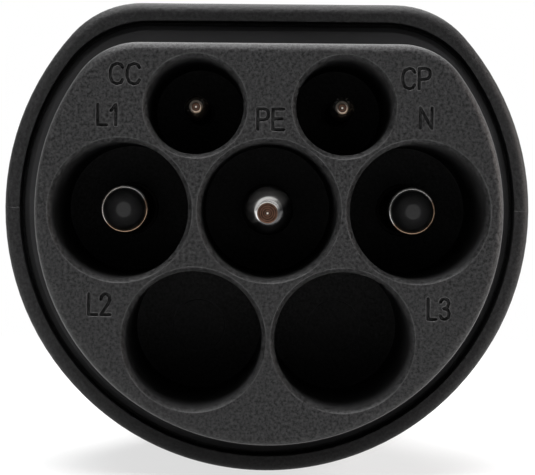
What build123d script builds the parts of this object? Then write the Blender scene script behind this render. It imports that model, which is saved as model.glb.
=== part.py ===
from build123d import *
import functools
import math
import os

# A hand-held AC charging plug with a seven-way D-shaped mating nose, fitted for one phase.
# Frame: the earth contact lies on the Y axis, the nose points along -Y with its front face at
# y = 0, +Z is up (the flat of the D) and the cable outlet is at +Y.  Millimetres.

# Mating nose, a D-section: round below and flat on top, centred on the earth contact
NOSE_RADIUS = 28.1
NOSE_TOP = 20.1              # height of the flat above the axis
NOSE_CORNER = 8.7
NOSE_LENGTH = 38.0           # how far the nose stands out of the collar
NOSE_EDGE = 1.2              # rounding of the front edge

# Contact wells
POWER_PITCH = 17.85          # spacing of the five power ways
SIGNAL_SPREAD = 17.86        # CC to CP, across
SIGNAL_RISE = 12.5           # CC and CP above the axis
POWER_WELL = 8.2
SIGNAL_WELL = 5.8
WELL_DEPTH = 36.0
WELL_EDGE = 0.5              # bevel round the mouth of a well
WEB_THICKNESS = 7.0          # floor of the wells, which carries the pins

# Base of the nose: a step under the seal, and a flange held in the shells
SEAL_SET_BACK = 0.8          # seal face behind the rim of the collar
SEAL_THICKNESS = 3.6
SEAL_WIDTH = 4.3
SEAL_EDGE = 0.7
STEP_WIDTH = 3.8
STEP_THICKNESS = 2.5
FLANGE_WIDTH = 5.2
FLANGE_THICKNESS = 4.0
NOSE_FIT = 0.1               # play of the nose in the shells

# Contact pins
POWER_PIN = 3.0
POWER_PIN_ROOT = 3.4         # thicker stretch in the floor of the well
POWER_PIN_FLANGE = 4.6
POWER_BARREL = 3.9
POWER_BARREL_LENGTH = 19.0
POWER_CRIMP_BORE = 2.4
SIGNAL_PIN = 1.5
SIGNAL_PIN_ROOT = 1.8
SIGNAL_PIN_FLANGE = 2.9
SIGNAL_BARREL = 1.9
SIGNAL_BARREL_LENGTH = 13.0
SIGNAL_CRIMP_BORE = 1.1
CRIMP_DEPTH_SHARE = 0.65     # of the barrel's length
PIN_FLANGE_THICKNESS = 2.6
PIN_FIT = 0.05
EARTH_TIP = 7.2              # behind the front face
EARTH_NOSE = 2.0             # length of the rounded end
EARTH_DISC = 1.35            # flat turned centre of the end
SIGNAL_TIP = 7.4
SIGNAL_NOSE = 1.7
SIGNAL_DISC = 0.6
LIVE_TIP = 13.2              # metal end of the line and neutral pins
LIVE_EDGE = 0.25
CAP_LENGTH = 2.6             # touch-proof cap in front of the metal
CAP_RADIUS = 2.62
CAP_FLAT = 0.9
CAP_STEM = 1.6
CAP_STEM_LENGTH = 9.0

# Rear insulator, which traps the pins
INSULATOR_THICKNESS = 4.5
INSULATOR_INSET = 0.6        # inside the nose outline
SPIGOT_WALL = 0.75
INSULATOR_SCREW_TOP = 15.5   # height of the upper screw
INSULATOR_SCREW_BOTTOM = -23.0
INSULATOR_SCREW_SIDE = 21.0
INSULATOR_SCREW_DROP = -12.0

# Coding resistor board, on the CC, CP and earth barrels
BOARD_SET_BACK = 4.0         # behind the insulator
BOARD_THICKNESS = 1.6
BOARD_MARGIN = 3.6           # round the outermost holes
BOARD_ROUNDING = 1.5
RESISTOR_RADIUS = 1.2
RESISTOR_LENGTH = 6.4
RESISTOR_SPREAD = 4.4

# Handle outline: D-shaped collar, shoulder, neck, palm and heel
COLLAR_RADIUS = 35.0
COLLAR_TOP = 27.4
COLLAR_CORNER = 12.4
COLLAR_DEPTH = 8.0           # straight stretch behind the rim
RIM_WIDTH = 2.0              # front rim of the collar, at its round side
RIM_OUTER_EDGE = 1.3
SHOULDER_AT = 20.0           # stations are distances behind the rim
SHOULDER_SWELL = 1.0
REST_LEVEL = 35.6            # flat belly below the axis
NECK_AT = 66.0
NECK_RADIUS = 22.0
NECK_LIFT = 3.0              # belly of the neck above the rest level
PALM_AT = 94.0
PALM_RADIUS = 24.0
HEEL_AT = 120.0
HEEL_RADIUS = 24.2
HEEL_EDGE = 2.5
HEEL_STRAIGHT = 5.0          # straight stretch before the end of the handle
GRIP_TOP_CUT = 1.2           # flats of the grip, in from its round outline
GRIP_BELLY_CUT = 1.5
GRIP_CORNER = 9.0
BELLY_CORNER = 12.0
WALL = 2.6
HEEL_BLOCK = 10.5            # solid end of the handle, round the gland
SHELF_THICKNESS = 3.0        # ring behind the nose flange
RIB_THICKNESS = 1.6
RIB_HEIGHT = 3.0
RIB_SPACING = 13.0
RIB_COUNT = 3
SEAM_LIP = 1.1               # tongue of the lower shell, in the upper one
SEAM_LIP_WALL = 1.2
SEAM_FIT = 0.1

# Screws
SCREW_RADIUS = 1.5
SCREW_HEAD = 2.9
SCREW_HEAD_HEIGHT = 2.2
SCREW_SOCKET = 1.2
SCREW_SOCKET_DEPTH = 1.2
SCREW_FIT = 0.05
BOSS_RADIUS = 3.9
COUNTERBORE = 3.3
BOSS_FLOOR = 5.0             # lower shell under the seam, at a screw
THREAD_DEPTH = 9.0
COLLAR_SCREW_SIDE = 27.2
COLLAR_SCREW_AT = 25.0
GRIP_SCREW_SIDE = 14.3
NECK_SCREW_AT = 75.0
HEEL_SCREW_AT = 104.0

# Grip pads
PAD_LENGTH = 50.0
PAD_HEIGHT = 19.0
PAD_AT = 90.0
PAD_DEPTH = 1.2
PAD_PROUD = 0.5
PAD_FIT = 0.1
PAD_MARGIN = 3.0             # plain border round the grooves
PAD_GROOVES = 9
PAD_GROOVE_WIDTH = 1.6

# Cable gland
GLAND_THREAD = 16.0
GLAND_THREAD_LENGTH = 13.0
GLAND_FLANGE = 19.0
GLAND_FLANGE_THICKNESS = 3.0
GLAND_FLAT = 17.0            # half the width across the flange's flats
GLAND_NECK = 15.0
GLAND_COLLAR = 18.6
GLAND_COLLAR_THICKNESS = 3.2
GLAND_BORE = 12.9
GLAND_THROAT = 11.0
GLAND_THROAT_LENGTH = 10.5
GLAND_FIT = 0.1
CLAW_COUNT = 8
CLAW_RADIUS = 14.4
CLAW_LENGTH = 9.0
CLAW_TAPER = 5.0             # length of the sloped end
CLAW_TIP = 13.6
CLAW_SLOT = 1.6
RING_GAP = 0.3               # between pieces that move past each other
RING_RADIUS = 16.0
THREAD_FIT = 0.12
NUT_RADIUS = 20.6
NUT_LIP = 3.8                # closed end of the nut
NUT_MOUTH = 9.6
NUT_END_ROUNDING = 3.0
NUT_GAP = 0.4
NUT_FLUTES = 14
NUT_FLUTE_RADIUS = 2.4
NUT_FLUTE_DEPTH = 0.9
ORING_SECTION = 0.85
GROMMET_BORE = 8.0
GROMMET_EDGE = 0.6

# Cord clamp in the handle
CLAMP_AT = 88.0
CLAMP_LENGTH = 8.0
CLAMP_PLATE = 3.0
CLAMP_ARCH_WALL = 2.8
CLAMP_SCREW_SIDE = 13.9
CLAMP_HALF_WIDTH = 17.0
CLAMP_SEAT = 2.0             # seat below the cable's centre
CLAMP_FIT = 0.2

# ------------------------------------------------------------------ stations along Y
SEAL_FRONT = NOSE_LENGTH + SEAL_SET_BACK
STEP_FRONT = SEAL_FRONT + SEAL_THICKNESS
FLANGE_FRONT = STEP_FRONT + STEP_THICKNESS
FLANGE_BACK = FLANGE_FRONT + FLANGE_THICKNESS
PIN_SEAT = WELL_DEPTH + WEB_THICKNESS
PIN_FLANGE_BACK = PIN_SEAT + PIN_FLANGE_THICKNESS
INSULATOR_BACK = FLANGE_BACK + INSULATOR_THICKNESS
BOARD_FRONT = INSULATOR_BACK + BOARD_SET_BACK
HEEL_BACK = NOSE_LENGTH + HEEL_AT
HEEL_BLOCK_FRONT = HEEL_BACK - HEEL_BLOCK
CAVITY_FRONT = FLANGE_BACK + SHELF_THICKNESS

# Gland stations
GLAND_AXIS = -(REST_LEVEL - HEEL_RADIUS + GRIP_BELLY_CUT)
GLAND_COLLAR_BACK = HEEL_BACK + GLAND_COLLAR_THICKNESS
GLAND_THREAD_BACK = GLAND_COLLAR_BACK + GLAND_THREAD_LENGTH
CLAW_BACK = GLAND_THREAD_BACK + CLAW_LENGTH
GLAND_FLANGE_FRONT = HEEL_BLOCK_FRONT + GLAND_FLANGE_THICKNESS
GLAND_FLANGE_BACK = GLAND_FLANGE_FRONT + GLAND_FLANGE_THICKNESS
GROMMET_FRONT = GLAND_FLANGE_FRONT + GLAND_THROAT_LENGTH
RING_FRONT = GLAND_THREAD_BACK + CLAW_LENGTH - CLAW_TAPER
RING_BACK = CLAW_BACK + 1.5 * RING_GAP
NUT_FRONT = GLAND_COLLAR_BACK + NUT_GAP
NUT_SHOULDER = RING_BACK + RING_GAP
NUT_BACK = NUT_SHOULDER + NUT_LIP
ORING_RADIUS = (GLAND_NECK + GLAND_COLLAR) / 2

# Contact places, as (across, up)
EARTH_PLACE = (0.0, 0.0)
LINE_PLACE = (-POWER_PITCH, 0.0)
NEUTRAL_PLACE = (POWER_PITCH, 0.0)
CC_PLACE = (-SIGNAL_SPREAD / 2, SIGNAL_RISE)
CP_PLACE = (SIGNAL_SPREAD / 2, SIGNAL_RISE)
UNUSED_PLACES = [
    (side * POWER_PITCH / 2, -POWER_PITCH * math.sin(math.radians(60))) for side in (-1, 1)
]
POWER_PLACES = [LINE_PLACE, EARTH_PLACE, NEUTRAL_PLACE]
SIGNAL_PLACES = [CC_PLACE, CP_PLACE]
INSULATOR_SCREW_PLACES = [
    (0.0, INSULATOR_SCREW_TOP),
    (0.0, INSULATOR_SCREW_BOTTOM),
    (-INSULATOR_SCREW_SIDE, INSULATOR_SCREW_DROP),
    (INSULATOR_SCREW_SIDE, INSULATOR_SCREW_DROP),
]
# Shell screws, as (across, distance behind the rim)
SHELL_SCREW_PLACES = [
    (side * reach, at)
    for reach, at in (
        (COLLAR_SCREW_SIDE, COLLAR_SCREW_AT),
        (GRIP_SCREW_SIDE, NECK_SCREW_AT),
        (GRIP_SCREW_SIDE, HEEL_SCREW_AT),
    )
    for side in (-1, 1)
]


# ------------------------------------------------------------------ shape helpers
def across(y):
    """Plane square to the mating axis at y, with its own x and y along +X and +Z."""
    return Plane.XZ.offset(-y)


def along(face, start, length):
    """A face drawn in (X, Z), made solid from y = start towards +Y."""
    return extrude(across(start) * face, -length)


def corner_arc(centre, radius, first, last):
    """Arc about a centre between two directions given as (x, y)."""
    middle = (first + last).normalized()
    centre = Vector(*centre)
    return ThreePointArc(centre + first * radius, centre + middle * radius, centre + last * radius)


def d_face(radius, top, corner):
    """D-section: a circle with a flat top whose two corners are round."""
    side = math.sqrt((radius - corner) ** 2 - (top - corner) ** 2)
    lean = Vector(side, top - corner).normalized()
    right = corner_arc((side, top - corner), corner, Vector(0, 1), lean)
    left = right.mirror(Plane.YZ)
    flat = Line((-side, top), (side, top))
    round_side = ThreePointArc(lean * radius, (0, -radius), (-lean.X * radius, lean.Y * radius))
    return make_face(Curve() + [flat, right, round_side, left])


def nose_face(growth):
    """The nose outline, grown outwards by a distance."""
    return d_face(NOSE_RADIUS + growth, NOSE_TOP + growth, NOSE_CORNER + growth)


def body_wire(radius, top, bottom, corner, belly_corner, drop):
    """Handle section: a circle with a flat top and a flat belly, lowered by drop."""
    side = math.sqrt((radius - corner) ** 2 - (top - corner) ** 2)
    belly_side = math.sqrt((radius - belly_corner) ** 2 - (bottom - belly_corner) ** 2)
    lean = Vector(side, top - corner).normalized()
    belly_lean = Vector(belly_side, belly_corner - bottom).normalized()
    upper = corner_arc((side, top - corner), corner, Vector(0, 1), lean)
    lower = corner_arc((belly_side, belly_corner - bottom), belly_corner, belly_lean, Vector(0, -1))
    flank = ThreePointArc(lean * radius, (radius, 0), belly_lean * radius)
    right = [upper, flank, lower]
    left = [piece.mirror(Plane.YZ) for piece in right]
    flat = Line((-side, top), (side, top))
    belly = Line((-belly_side, -bottom), (belly_side, -bottom))
    return Pos(0, -drop) * make_face(Curve() + [flat, belly] + right + left)


def turned(points, place):
    """A piece turned about an axis along Y: points are (radius, y)."""
    profile = make_face(Polyline(*points, close=True))
    return Pos(place[0], 0, place[1]) * revolve(profile, Axis.Y)


def rod(radius, start, end, place):
    """A cylinder along Y from start to end."""
    return Pos(place[0], 0, place[1]) * along(Circle(radius), start, end - start)


def post(radius, low, high, x, y):
    """A cylinder along Z from low to high."""
    return Pos(x, y, low) * extrude(Circle(radius), high - low)


def nose_arc(radius, flat, tip, length):
    """Rounded end of a pin, from the rim of its flat disc to its full radius."""
    width = radius - flat
    bend = (width ** 2 + length ** 2) / (2 * width)
    half = math.acos((bend - width) / bend) / 2
    centre = radius - bend
    middle = (centre + bend * math.cos(half), tip + length - bend * math.sin(half))
    return ThreePointArc((flat, tip), middle, (radius, tip + length))


# ------------------------------------------------------------------ mating nose
def nose_housing():
    """One moulding: the D nose with seven wells, its step and its flange."""
    body = along(nose_face(0), 0, FLANGE_BACK)
    body = fillet(body.faces().sort_by(Axis.Y)[0].edges(), NOSE_EDGE)
    body += along(nose_face(STEP_WIDTH), STEP_FRONT, STEP_THICKNESS)
    body += along(nose_face(FLANGE_WIDTH), FLANGE_FRONT, FLANGE_THICKNESS)
    for place in POWER_PLACES + UNUSED_PLACES:
        body -= well(POWER_WELL, place)
        body -= rod(POWER_PIN_ROOT + PIN_FIT, WELL_DEPTH, PIN_SEAT, place)
        body -= rod(POWER_PIN_FLANGE + PIN_FIT, PIN_SEAT, FLANGE_BACK, place)
    for place in SIGNAL_PLACES:
        body -= well(SIGNAL_WELL, place)
        body -= rod(SIGNAL_PIN_ROOT + PIN_FIT, WELL_DEPTH, PIN_SEAT, place)
        body -= rod(SIGNAL_PIN_FLANGE + PIN_FIT, PIN_SEAT, FLANGE_BACK, place)
    for place in INSULATOR_SCREW_PLACES:
        body -= rod(SCREW_RADIUS + SCREW_FIT, FLANGE_BACK - THREAD_DEPTH, FLANGE_BACK, place)
    return body


def well(radius, place):
    """Cutter of one contact well, with the bevel round its mouth."""
    mouth = radius + WELL_EDGE
    return turned([(0, 0), (mouth, 0), (radius, WELL_EDGE), (radius, WELL_DEPTH), (0, WELL_DEPTH)], place)


def nose_seal():
    """Rubber ring round the foot of the nose, with a sloped outer edge."""
    ring = along(nose_face(SEAL_WIDTH), SEAL_FRONT, SEAL_THICKNESS)
    ring = chamfer(ring.faces().sort_by(Axis.Y)[0].edges(), SEAL_EDGE)
    return ring - along(nose_face(0), SEAL_FRONT, SEAL_THICKNESS)


# ------------------------------------------------------------------ contacts
def pin(radius, tip, nose_length, disc, root, flange, barrel, barrel_length, bore, place):
    """A turned contact: rounded end, shank, root, flange, and crimp barrel bored from behind."""
    back = PIN_FLANGE_BACK + barrel_length
    bottom = back - barrel_length * CRIMP_DEPTH_SHARE
    rounded = nose_arc(radius, disc, tip, nose_length)
    rest = Polyline(
        (radius, tip + nose_length), (radius, WELL_DEPTH), (root, WELL_DEPTH), (root, PIN_SEAT),
        (flange, PIN_SEAT), (flange, PIN_FLANGE_BACK), (barrel, PIN_FLANGE_BACK), (barrel, back),
        (bore, back), (bore, bottom), (0, bottom + bore / 2), (0, tip), (disc, tip),
    )
    return Pos(place[0], 0, place[1]) * revolve(make_face(Curve() + [rounded, rest]), Axis.Y)


def earth_pin():
    """The protective earth contact, the first to make."""
    return pin(POWER_PIN, EARTH_TIP, EARTH_NOSE, EARTH_DISC, POWER_PIN_ROOT, POWER_PIN_FLANGE,
               POWER_BARREL, POWER_BARREL_LENGTH, POWER_CRIMP_BORE, EARTH_PLACE)


def signal_pin(place):
    """A control contact: the same turned form at half the size."""
    return pin(SIGNAL_PIN, SIGNAL_TIP, SIGNAL_NOSE, SIGNAL_DISC, SIGNAL_PIN_ROOT, SIGNAL_PIN_FLANGE,
               SIGNAL_BARREL, SIGNAL_BARREL_LENGTH, SIGNAL_CRIMP_BORE, place)


def live_pin(place):
    """A line or neutral contact: its flat end is bored for the stem of the touch-proof cap."""
    flat = POWER_PIN - LIVE_EDGE
    body = pin(POWER_PIN, LIVE_TIP, LIVE_EDGE, flat, POWER_PIN_ROOT, POWER_PIN_FLANGE,
               POWER_BARREL, POWER_BARREL_LENGTH, POWER_CRIMP_BORE, place)
    seat = rod(CAP_RADIUS + PIN_FIT, LIVE_TIP, LIVE_TIP + LIVE_EDGE, place)
    return body - seat - rod(CAP_STEM + PIN_FIT, LIVE_TIP, LIVE_TIP + CAP_STEM_LENGTH, place)


def touch_cap(place):
    """Plastic end of a live pin: a domed head on a stem pressed into the metal."""
    tip = LIVE_TIP - CAP_LENGTH
    seat = LIVE_TIP + LIVE_EDGE
    stem_end = LIVE_TIP + CAP_STEM_LENGTH
    dome = nose_arc(CAP_RADIUS, CAP_FLAT, tip, CAP_LENGTH)
    rest = Polyline(
        (CAP_RADIUS, LIVE_TIP), (CAP_RADIUS, seat), (CAP_STEM, seat), (CAP_STEM, stem_end),
        (0, stem_end), (0, tip), (CAP_FLAT, tip),
    )
    return Pos(place[0], 0, place[1]) * revolve(make_face(Curve() + [dome, rest]), Axis.Y)


def blanking_plugs():
    """Plugs that close the pin holes of the unused ways, put in from behind like the pins."""
    points = [
        (0, WELL_DEPTH), (POWER_PIN_ROOT, WELL_DEPTH), (POWER_PIN_ROOT, PIN_SEAT),
        (POWER_PIN_FLANGE, PIN_SEAT), (POWER_PIN_FLANGE, FLANGE_BACK), (0, FLANGE_BACK),
    ]
    return [turned(points, place) for place in UNUSED_PLACES]


# ------------------------------------------------------------------ behind the nose
def rear_insulator():
    """Plate with a spigot behind each pin's flange, screwed to the back of the nose."""
    plate = along(nose_face(-INSULATOR_INSET), FLANGE_BACK, INSULATOR_THICKNESS)
    ways = [(place, POWER_PIN_FLANGE, POWER_BARREL) for place in POWER_PLACES]
    ways += [(place, SIGNAL_PIN_FLANGE, SIGNAL_BARREL) for place in SIGNAL_PLACES]
    for place, flange, barrel in ways:
        plate += rod(barrel + SPIGOT_WALL, PIN_FLANGE_BACK, FLANGE_BACK, place)
    for place, flange, barrel in ways:
        plate -= rod(barrel + PIN_FIT, PIN_FLANGE_BACK, INSULATOR_BACK, place)
    for place in INSULATOR_SCREW_PLACES:
        plate -= rod(SCREW_RADIUS + SCREW_FIT, FLANGE_BACK, INSULATOR_BACK, place)
    return plate


def coding_board():
    """Circuit board slid over the CC, CP and earth barrels."""
    half = SIGNAL_SPREAD / 2 + SIGNAL_BARREL + BOARD_MARGIN
    band = RectangleRounded(2 * half, 2 * (SIGNAL_BARREL + BOARD_MARGIN), BOARD_ROUNDING)
    foot_half = POWER_BARREL + BOARD_MARGIN
    foot = RectangleRounded(2 * foot_half, SIGNAL_RISE + foot_half, BOARD_ROUNDING)
    outline = Pos(0, SIGNAL_RISE) * band + Pos(0, (SIGNAL_RISE - foot_half) / 2) * foot
    board = along(outline, BOARD_FRONT, BOARD_THICKNESS)
    board_back = BOARD_FRONT + BOARD_THICKNESS
    for place in SIGNAL_PLACES:
        board -= rod(SIGNAL_BARREL + PIN_FIT, BOARD_FRONT, board_back, place)
    return board - rod(POWER_BARREL + PIN_FIT, BOARD_FRONT, board_back, EARTH_PLACE)


def coding_resistors():
    """Two axial resistors lying on the back of the board."""
    y = BOARD_FRONT + BOARD_THICKNESS + RESISTOR_RADIUS
    body = Rot(0, 90, 0) * extrude(Circle(RESISTOR_RADIUS), RESISTOR_LENGTH / 2, both=True)
    half = RESISTOR_SPREAD / 2
    return [Pos(0, y, SIGNAL_RISE + half) * body, Pos(0, y, SIGNAL_RISE - half) * body]


# ------------------------------------------------------------------ screws
def screw(length):
    """Screw along +Z with its head below the origin and a hexagon socket in the head."""
    body = extrude(Circle(SCREW_RADIUS), length)
    body += Pos(0, 0, -SCREW_HEAD_HEIGHT) * extrude(Circle(SCREW_HEAD), SCREW_HEAD_HEIGHT)
    socket = extrude(RegularPolygon(SCREW_SOCKET, 6), SCREW_SOCKET_DEPTH)
    return body - Pos(0, 0, -SCREW_HEAD_HEIGHT) * socket


def insulator_screws():
    """Four screws from behind, through the insulator into the nose."""
    body = screw(INSULATOR_THICKNESS + THREAD_DEPTH - SCREW_RADIUS)
    return [Pos(x, INSULATOR_BACK, z) * Rot(90, 0, 0) * body for x, z in INSULATOR_SCREW_PLACES]


def shell_screws():
    """Six screws from below, whose heads sit in the lower shell's counterbores."""
    body = screw(BOSS_FLOOR + THREAD_DEPTH - SCREW_RADIUS)
    return [
        Pos(x, NOSE_LENGTH + at, seam_height(at) - BOSS_FLOOR) * body for x, at in SHELL_SCREW_PLACES
    ]


# ------------------------------------------------------------------ handle
def ease(share):
    """Smooth step from 0 to 1."""
    return (1 - math.cos(math.pi * share)) / 2


def mix(first, last, share):
    """Value between two, as a share of the way."""
    return first + (last - first) * share


def grip_section(radius, lift):
    """Numbers of a grip section whose belly lies lift above the rest level."""
    bottom = radius - GRIP_BELLY_CUT
    return [radius, radius - GRIP_TOP_CUT, bottom, GRIP_CORNER, BELLY_CORNER, REST_LEVEL - lift - bottom]


def body_sections(inset):
    """Sections of the handle as (station, numbers), moved inwards by inset."""
    swell = SHOULDER_SWELL
    rim_bottom = COLLAR_RADIUS - 0.05
    rim = [COLLAR_RADIUS, COLLAR_TOP, rim_bottom, COLLAR_CORNER, BELLY_CORNER, 0]
    shoulder = [COLLAR_RADIUS + swell, COLLAR_TOP + swell, REST_LEVEL, COLLAR_CORNER, BELLY_CORNER, 0]
    neck = grip_section(NECK_RADIUS, NECK_LIFT)
    palm = grip_section(PALM_RADIUS, 0)
    heel = grip_section(HEEL_RADIUS, 0)
    stations = [(COLLAR_DEPTH, rim), (SHOULDER_AT, shoulder)]
    for share in (0.25, 0.5, 0.75):
        numbers = [mix(a, b, ease(share)) for a, b in zip(shoulder, neck)]
        stations.append((mix(SHOULDER_AT, NECK_AT, share), numbers))
    stations += [(NECK_AT, neck), (PALM_AT, palm), (HEEL_AT - HEEL_STRAIGHT, heel)]
    inset_by = [inset, inset, inset, inset, inset, 0]
    return [(at, [n - i for n, i in zip(numbers, inset_by)]) for at, numbers in stations]


@functools.lru_cache(maxsize=None)
def handle_loft(inset):
    """Smooth solid through the handle's sections, moved inwards by inset."""
    faces = [across(NOSE_LENGTH + at) * body_wire(*numbers) for at, numbers in body_sections(inset)]
    return loft(faces)


def slab(start, end, size=200):
    """Everything between two stations."""
    return along(Rectangle(size, size), start, end - start)


def seam_height(at):
    """Height of the parting line at a station behind the rim."""
    grip = REST_LEVEL - PALM_RADIUS + GRIP_BELLY_CUT
    share = min(max((at - SHOULDER_AT) / (NECK_AT - SHOULDER_AT), 0), 1)
    return -grip * ease(share)


def above_seam(rise):
    """Everything above the parting surface, which steps down from the collar to the grip."""
    start = (NOSE_LENGTH - 1, rise)
    bend_start = (NOSE_LENGTH + SHOULDER_AT, rise)
    bend_end = (NOSE_LENGTH + NECK_AT, seam_height(NECK_AT) + rise)
    end = (HEEL_BACK + 1, seam_height(NECK_AT) + rise)
    top = 2 * COLLAR_RADIUS
    bend = Spline(bend_start, bend_end, tangents=[(1, 0), (1, 0)])
    lines = [Line(start, bend_start), bend, Polyline(bend_end, end, (end[0], top), (start[0], top), start)]
    return extrude(Plane.YZ * make_face(Curve() + lines), 2 * COLLAR_RADIUS, both=True)


def outer_form():
    """The handle as a solid: straight collar, then the loft, with a flat belly."""
    collar = along(d_face(COLLAR_RADIUS, COLLAR_TOP, COLLAR_CORNER), NOSE_LENGTH, COLLAR_DEPTH)
    collar = fillet(collar.faces().sort_by(Axis.Y)[0].edges(), RIM_OUTER_EDGE)
    heel = along(body_wire(*grip_section(HEEL_RADIUS, 0)), HEEL_BACK - HEEL_STRAIGHT, HEEL_STRAIGHT)
    heel = fillet(heel.faces().sort_by(Axis.Y)[-1].edges(), HEEL_EDGE)
    high = 2 * COLLAR_RADIUS
    length = HEEL_AT + 2
    room = Box(2 * high, length, high + REST_LEVEL, align=(Align.CENTER, Align.MIN, Align.MIN))
    return (collar + handle_loft(0) + heel) & Pos(0, NOSE_LENGTH - 1, -REST_LEVEL) * room


def pad_outline(growth, side):
    """Prism through one side of the grip, in the pad's outline."""
    height = PAD_HEIGHT + 2 * growth
    shape = SlotOverall(PAD_LENGTH + 2 * growth, height)
    middle = Plane.YZ * Pos(NOSE_LENGTH + PAD_AT, seam_height(PAD_AT)) * shape
    return extrude(middle, side * 2 * COLLAR_RADIUS)


def whole_body():
    """Both shells as one hollow body, before the parting cut."""
    outer = outer_form()
    high = 2 * COLLAR_RADIUS
    room = Box(2 * high, HEEL_BLOCK_FRONT - CAVITY_FRONT, high, align=(Align.CENTER, Align.MIN, Align.MIN))
    cavity = handle_loft(WALL) & Pos(0, CAVITY_FRONT, WALL - REST_LEVEL) * room
    first_rib = NOSE_LENGTH + SHOULDER_AT + RIB_SPACING
    rib_starts = [first_rib + RIB_SPACING * number for number in range(RIB_COUNT)]
    slots = [slab(start, start + RIB_THICKNESS) for start in rib_starts]
    ribs = (handle_loft(WALL) - handle_loft(WALL + RIB_HEIGHT)) & (slots[0] + slots[1:])
    inner_posts = [
        post(BOSS_RADIUS, -REST_LEVEL, COLLAR_TOP, x, NOSE_LENGTH + at) for x, at in SHELL_SCREW_PLACES
    ]
    hang = (Align.CENTER, Align.CENTER, Align.MAX)
    cradle = Box(2 * CLAMP_HALF_WIDTH, CLAMP_LENGTH, REST_LEVEL, align=hang)
    inner_posts.append(Pos(0, NOSE_LENGTH + CLAMP_AT, GLAND_AXIS - CLAMP_SEAT) * cradle)
    cavity = cavity - ribs - inner_posts
    rim_growth = COLLAR_RADIUS - RIM_WIDTH - NOSE_RADIUS
    front = [
        along(nose_face(rim_growth), NOSE_LENGTH - 1, STEP_FRONT - NOSE_LENGTH + 1),
        along(nose_face(STEP_WIDTH + NOSE_FIT), STEP_FRONT, STEP_THICKNESS),
        along(nose_face(FLANGE_WIDTH + NOSE_FIT), FLANGE_FRONT, FLANGE_THICKNESS),
        along(nose_face(STEP_WIDTH), FLANGE_BACK, SHELF_THICKNESS),
    ]
    outlet = rod(GLAND_NECK + GLAND_FIT, HEEL_BLOCK_FRONT - 1, HEEL_BACK + 1, (0, GLAND_AXIS))
    return outer - cavity - front - outlet - gland_flange(GLAND_FIT)


def gland_flange(fit):
    """Disc with two flats, which keeps the gland from turning in the shells."""
    disc = rod(GLAND_FLANGE + fit, GLAND_FLANGE_FRONT - fit, GLAND_FLANGE_BACK + fit, (0, GLAND_AXIS))
    between = Box(2 * (GLAND_FLAT + fit), 4 * HEEL_BLOCK, 3 * GLAND_FLANGE)
    return disc & Pos(0, GLAND_FLANGE_FRONT, GLAND_AXIS) * between


def pad_pockets():
    """Cutters for the two pockets that take the grip pads."""
    skin = handle_loft(-PAD_PROUD) - handle_loft(PAD_DEPTH)
    return [skin & pad_outline(PAD_FIT, side) for side in (-1, 1)]


def upper_shell(body):
    """Upper half, with the groove for the tongue and blind screw holes."""
    radius = SCREW_RADIUS + SCREW_FIT
    holes = []
    for x, at in SHELL_SCREW_PLACES:
        seam = seam_height(at)
        holes.append(post(radius, seam - 1, seam + THREAD_DEPTH, x, NOSE_LENGTH + at))
    return (body & above_seam(0)) - seam_tongue(SEAM_FIT) - holes


def lower_shell(body):
    """Lower half, with the tongue, counterbored screw holes and the cord cradle."""
    radius = SCREW_RADIUS + SCREW_FIT
    holes = []
    for x, at in SHELL_SCREW_PLACES:
        seam = seam_height(at)
        floor = seam - BOSS_FLOOR
        holes.append(post(radius, floor - 1, seam + 2, x, NOSE_LENGTH + at))
        holes.append(post(COUNTERBORE, -REST_LEVEL - 1, floor, x, NOSE_LENGTH + at))
    y = NOSE_LENGTH + CLAMP_AT
    seat = GLAND_AXIS - CLAMP_SEAT
    trough = rod(GROMMET_BORE + CLAMP_FIT, y - CLAMP_LENGTH, y + CLAMP_LENGTH, (0, GLAND_AXIS))
    holes.append(trough)
    for side in (-1, 1):
        holes.append(post(radius, seat - THREAD_DEPTH, seat + 1, side * CLAMP_SCREW_SIDE, y))
    return (body - above_seam(0)) + seam_tongue(0) - holes


def seam_tongue(fit):
    """Tongue along the parting line, inside the wall."""
    band = handle_loft(WALL - SEAM_LIP_WALL - fit) - handle_loft(WALL + 1)
    strip = above_seam(-1) - above_seam(SEAM_LIP + fit)
    return band & strip & slab(CAVITY_FRONT + 1, HEEL_BLOCK_FRONT - 1)


def grip_pad(side):
    """Rubber inlay of one side of the grip, with grooves across its face."""
    pad = (handle_loft(-PAD_PROUD) - handle_loft(PAD_DEPTH)) & pad_outline(0, side)
    proud = (handle_loft(-PAD_PROUD) - handle_loft(0)) & pad_outline(-PAD_MARGIN, side)
    middle = NOSE_LENGTH + PAD_AT
    pitch = (PAD_LENGTH - 2 * PAD_MARGIN) / PAD_GROOVES
    for number in range(PAD_GROOVES):
        start = middle + (number - (PAD_GROOVES - 1) / 2) * pitch - PAD_GROOVE_WIDTH / 2
        pad -= proud & slab(start, start + PAD_GROOVE_WIDTH)
    return pad


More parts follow.
